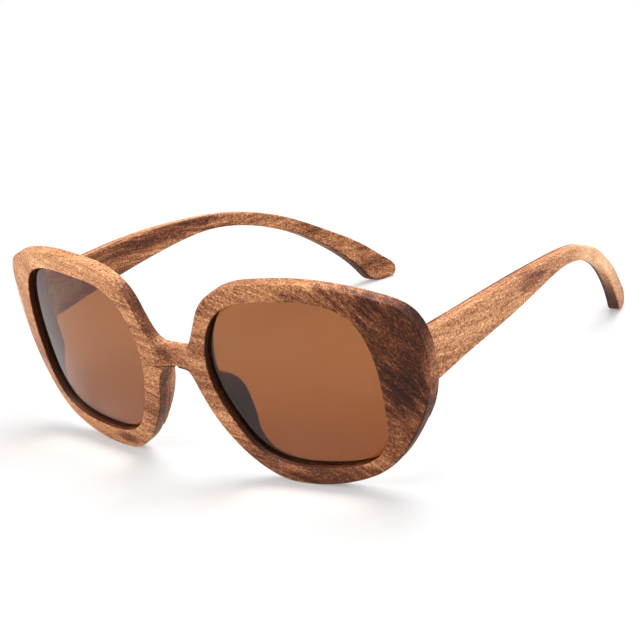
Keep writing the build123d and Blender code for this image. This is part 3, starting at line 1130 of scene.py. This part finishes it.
@dataclass(frozen=True)
class LensFinish:
    """Polished tinted lens, thin enough to bend what lies behind it only a little."""

    name: str = "tinted_lens"
    tint: tuple[int, int, int] = (152, 91, 44)
    low_tint: tuple[int, int, int] = (132, 70, 25)
    levels: tuple[float, float] = (6.0, 44.0)
    ior: float = 1.08
    gloss: float = 1.0
    gloss_ior: float = 1.38

    def material(self) -> bpy.types.Material:
        """Makes the lens material, its tint fading between two levels."""
        shader = Shader.named(self.name)
        level = shader.part(shader.spot(), 2).ramped(*(height * MM for height in self.levels))
        return shader.principled(
            {
                "Base Color": shader.ramp([(0.0, linear(*self.low_tint)), (1.0, linear(*self.tint))], level),
                "Roughness": 0.0,
                "IOR": self.ior,
                "Transmission Weight": 1.0,
                "Coat Weight": self.gloss,
                "Coat Roughness": 0.0,
                "Coat IOR": self.gloss_ior,
            }
        )


@dataclass(frozen=True)
class PlainFinish:
    """Metal, or the near-black of a ground lens edge and of the painted shade in the lens groove, with fine
    scratches.
    """

    name: str
    colour: tuple[int, int, int]
    metallic: float
    roughness: float
    scratches: float = 0.08
    scratch_scales: Triple = (9000.0, 600.0, 600.0)
    worn_share: float = 0.72
    worn_levels: tuple[float, float] = (0.3, 0.7)

    def material(self) -> bpy.types.Material:
        """Makes the material."""
        shader = Shader.named(self.name)
        noise = shader.noise(shader.spot(), self.scratch_scales)
        tint = linear(*self.colour)
        dark = tuple(channel * self.worn_share for channel in tint)
        return shader.principled(
            {
                "Base Color": shader.ramp(list(zip(self.worn_levels, (dark, tint))), noise),
                "Metallic": self.metallic,
                "Roughness": noise * (2 * self.scratches) + (self.roughness - self.scratches),
            }
        )


@dataclass
class Hinges:
    """Both barrel hinges, kept from the frame and finished in steel."""

    bevel: float = 0.12
    bevel_angle: float = 40.0
    bevel_segments: int = 2

    def dress(self) -> None:
        """Gives every leaf and screw its steel and soft edges."""
        leaf = PlainFinish("hinge_steel", (178, 176, 170), 1.0, 0.34).material()
        screw = PlainFinish("screw_steel", (196, 194, 188), 1.0, 0.24).material()
        finishes = {
            "hinge_front_leaf": leaf,
            "hinge_temple_leaf": leaf,
            "hinge_screw": screw,
            "front_leaf_screws": screw,
            "temple_leaf_screws": screw,
        }
        for side in Side:
            for stem, material in finishes.items():
                node = frame["nodes"][f"{stem}_{side.label}"]
                for slot in node.material_slots:
                    slot.material = material
                soften = node.modifiers.new("soft_edges", "BEVEL")
                soften.width = self.bevel * MM
                soften.segments = self.bevel_segments
                soften.limit_method = "ANGLE"
                soften.angle_limit = math.radians(self.bevel_angle)
                soften.use_clamp_overlap = True
                LOG.info("dressed %s", node.name)


@dataclass(frozen=True)
class Lamp:
    """Square soft lamp that looks at the object: place and size in metres, power in watts."""

    name: str
    place: Triple
    size: float
    power: float
    aim: Triple = (0.0, -0.02, 0.03)

    def build(self) -> None:
        """Adds the lamp."""
        light = bpy.data.lights.new(self.name, "AREA")
        light.size = self.size
        light.energy = self.power
        lamp = bpy.data.objects.new(self.name, light)
        lamp.location = self.place
        lamp.rotation_euler = (Vector(self.aim) - Vector(self.place)).to_track_quat("-Z", "Y").to_euler()
        bpy.context.scene.collection.objects.link(lamp)


@dataclass
class Studio:
    """Pale floor, soft lights, white surroundings and the camera at the photograph's place."""

    lamps: tuple[Lamp, ...] = (
        Lamp("key", (0.05, 0.35, 0.85), 0.7, 11.5),
        Lamp("right_fill", (0.75, 0.10, 0.45), 0.5, 3.2),
        Lamp("front_fill", (-0.45, -0.80, 0.45), 0.7, 7.6),
    )
    sky: float = 0.6
    table_size: float = 6.0
    table_tone: float = 0.42
    table_glow: float = 0.28
    table_reach: float = 0.11
    focal_pixels: float = 1761.0
    image_pixels: float = 640.0
    sensor_width: float = 36.0
    near_clip: float = 0.01
    camera_place: Triple = (316.2, -397.96, 197.8)
    right: Triple = (0.7906, 0.6005, -0.1198)
    up: Triple = (-0.1127, 0.3349, 0.9355)

    def build(self) -> None:
        """Makes floor, world, lamps and camera."""
        self._floor()
        self._world()
        for lamp in self.lamps:
            lamp.build()
        self._camera()

    def _floor(self) -> None:
        """White table that shows only the soft shadow."""
        bpy.ops.mesh.primitive_plane_add(size=self.table_size, location=(0, 0, 0))
        floor = bpy.context.object
        floor.name = "table"
        shader = Shader.named("table_white")
        lit = shader.node("ShaderNodeBsdfDiffuse", {}, {"Color": (*[self.table_tone] * 3, 1.0)})
        glow = shader.node("ShaderNodeEmission", {}, {"Strength": self.table_glow})
        near = shader.node("ShaderNodeAddShader", {}, {0: lit, 1: glow})
        white = shader.node("ShaderNodeEmission", {}, {"Strength": 1.0})
        away = shader.vector("LENGTH", shader.spot(), output="Value")
        far = away.ramped(self.table_reach, 2 * self.table_reach) * self._seen(shader)
        mixed = shader.node("ShaderNodeMixShader", {}, {0: far, 1: near, 2: white})
        floor.data.materials.append(shader.finish(mixed))

    def _world(self) -> None:
        """White surroundings for the eye and for gloss, softer light for everything else."""
        world = bpy.data.worlds.new("studio")
        bpy.context.scene.world = world
        shader = Shader(world)
        soft = shader.node("ShaderNodeBackground", {}, {"Color": WHITE, "Strength": self.sky})
        white = shader.node("ShaderNodeBackground", {}, {"Color": WHITE, "Strength": 1.0})
        mixed = shader.node("ShaderNodeMixShader", {}, {0: self._seen(shader), 1: soft, 2: white})
        shader.node("ShaderNodeOutputWorld", {}, {"Surface": mixed})

    @staticmethod
    def _seen(shader: Shader) -> Sock:
        """One for what the eye sees, also through the lenses, and zero for rays that only light."""
        eye = shader.node("ShaderNodeLightPath", {}, {}, "Is Camera Ray")
        through = shader.node("ShaderNodeLightPath", {}, {}, "Is Transmission Ray")
        return eye.math("MAXIMUM", through)

    def _camera(self) -> None:
        """Adds the camera."""
        lens = bpy.data.cameras.new("camera")
        lens.sensor_width = self.sensor_width
        lens.lens = self.focal_pixels / self.image_pixels * self.sensor_width
        lens.clip_start = self.near_clip
        camera = bpy.data.objects.new("camera", lens)
        right, up = Vector(self.right).normalized(), Vector(self.up).normalized()
        back = right.cross(up).normalized()
        turn = Matrix((right, back.cross(right), back)).transposed()
        camera.matrix_world = Matrix.Translation(Vector(self.camera_place) * MM) @ turn.to_4x4()
        bpy.context.scene.collection.objects.link(camera)
        bpy.context.scene.camera = camera


RIM_GRAIN_AND_LIGHT_PATCHES = (
    # These two darken the temporal panel: partly painted shade where its face turns away from the light,
    # partly darker grain.
    Figure((68.0, -68.0, 44.0), (14.0, 16.0, 18.0), -0.33),
    Figure((66.0, -68.0, 22.0), (13.0, 16.0, 15.0), -0.15),
    Figure((46.0, -70.0, 4.0), (17.0, 8.0, 6.0), -0.28),
    Figure((24.0, -75.0, 6.0), (13.0, 6.0, 8.0), -0.18),
    Figure((-36.0, -76.0, 4.0), (16.0, 6.0, 6.0), -0.08),
    # Painted light on the outer side wall of the wearer's left rim, which faces the side light.
    Figure((76.2, -62.0, 34.0), (2.8, 10.0, 22.0), 0.40),
    # Painted light on the top wall near the outer corner of the wearer's left rim, lit from above.
    Figure((66.0, -64.0, 61.0), (12.0, 8.0, 7.5), 0.20),
    Figure((0.0, -76.0, 42.0), (8.0, 6.0, 3.0), 0.12),
    # Painted light on the brow of the wearer's right rim, lit from the upper front.
    Figure((-38.0, -78.0, 59.0), (24.0, 7.0, 5.0), 0.10),
    # Painted shade on the upper face of the wearer's left rim, darker than its lit top wall.
    Figure((58.0, -75.5, 56.0), (13.0, 5.0, 6.0), -0.22),
    Figure((44.0, -79.0, 58.0), (4.0, 4.0, 3.0), -0.12),
    Figure((14.0, -82.0, 52.5), (7.0, 4.0, 2.5), -0.14),
    Figure((11.5, -81.5, 40.0), (4.0, 4.0, 3.0), -0.05),
    Figure((-2.0, -80.0, 36.0), (3.0, 3.0, 3.0), -0.14),
    Figure((-29.0, -74.0, 4.5), (5.0, 6.0, 1.8), -0.26),
    # These two are painted shade on the nasal wall of the wearer's right rim, which faces away from the
    # light.
    Figure((-12.0, -77.6, 46.0), (7.0, 2.4, 12.0), -0.06),
    Figure((-10.0, -76.2, 20.0), (7.0, 2.4, 12.0), -0.12),
    # Painted shade on the lens-facing side of the wearer's left nose pad.
    Figure((16.0, -70.0, 18.0), (6.0, 4.0, 14.0), -0.40),
    # Painted light on the upper face of the wearer's right rim, lit from the upper front.
    Figure((-55.0, -76.0, 50.0), (16.0, 12.0, 14.0), 0.10),
    # Painted light on the outer side wall of the wearer's right rim, lit from the side.
    Figure((-73.0, -66.0, 38.0), (4.0, 12.0, 12.0), 0.18),
    # Painted highlight on the flank of the wearer's right nose pad.
    Figure((-7.0, -71.0, 22.0), (4.0, 4.5, 13.0), 0.20),
)
TEMPLE_GRAIN_AND_LIGHT_PATCHES = (
    Figure((71.0, -9.0, 41.5), (6.0, 9.0, 2.2), -0.18),
    # Painted light on the outer side of the wearer's left temple towards its tip, which faces the side light.
    Figure((60.0, 46.0, 28.0), (12.0, 34.0, 22.0), 0.22),
)
LINING_GRAIN_AND_LIGHT_PATCHES = (
    Figure((-66.0, -6.0, 42.5), (6.0, 38.0, 3.0), -0.20),
    Figure((-64.0, -2.0, 36.0), (6.0, 30.0, 1.8), -0.20),
    Figure((-58.0, 34.0, 34.0), (8.0, 16.0, 8.0), 0.16),
    # Painted shade on the inner face of the wearer's right temple near the hinge.
    Figure((-68.0, -32.0, 38.0), (6.0, 20.0, 12.0), -0.12),
)


def finishes() -> dict[str, list[bpy.types.Material]]:
    """Makes the materials of wood and lenses.

    Returns:
        Material lists by the start of the CAD node's name.
    """
    rim_wood = WoodFinish("rim_wood", figures=RIM_GRAIN_AND_LIGHT_PATCHES).material()
    bent = {"along": 1, "slope": 0.12, "curl": 0.0, "end_grain": 0.40}
    temple_wood = WoodFinish(
        "temple_wood", tone=0.61, streaks=0.22, figures=TEMPLE_GRAIN_AND_LIGHT_PATCHES, **bent
    ).material()
    lining_wood = WoodFinish(
        "lining_wood", tone=0.46, streaks=0.34, figures=LINING_GRAIN_AND_LIGHT_PATCHES, **bent
    ).material()
    lens = LensFinish().material()
    # Painted shade: near-black where the lens groove lies in shadow round the lens; on the lens edge it also
    # stands for the ground, dull finish of that edge.
    dark_part = PlainFinish("charred_edge", (26, 17, 14), 0.0, 0.85).material()
    scorched = WoodFinish("scorched_edge", tone=0.06).material()
    return {
        "front_face": [rim_wood, scorched],
        "front": [rim_wood, dark_part],
        "end_block": [rim_wood],
        "nose_pad": [rim_wood],
        "lens": [lens, dark_part],
        "temple_outer": [temple_wood, scorched],
        "temple_inner": [lining_wood, scorched],
    }


def dress(pieces: dict[str, bpy.types.Object], materials: dict[str, list[bpy.types.Material]]) -> None:
    """Gives each piece its material and its body, and hides the CAD node that it stands for.

    Args:
        pieces: pieces by CAD node.
        materials: material list by the start of the node's name.
    """
    record = frame["record"]
    bodies = record["behaviour"]["bodies"]
    for node, piece in pieces.items():
        stem = max((key for key in materials if node.startswith(key)), key=len)
        for material in materials[stem]:
            piece.data.materials.append(material)
        body = next(name for name, members in bodies.items() if node in members)
        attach(piece, body)
        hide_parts(node)
        LOG.info("built %s for %s on %s", piece.name, node, body)


def main() -> None:
    """Builds the sunglasses, dresses them and sets the studio."""
    logging.basicConfig(level=logging.INFO, format="%(name)s: %(message)s")
    scene = bpy.context.scene
    scene.view_settings.view_transform = "Standard"
    form = FrontForm()
    pieces = Front(form, RimStations(form)).build()
    pieces.update(Temple(form).build())
    dress(pieces, finishes())
    for side in Side:
        pieces[f"lens_{side.label}"].visible_shadow = False
    Hinges().dress()
    Studio().build()
    LOG.info("%d pieces built", len(pieces))


if __name__ == "__main__":
    main()
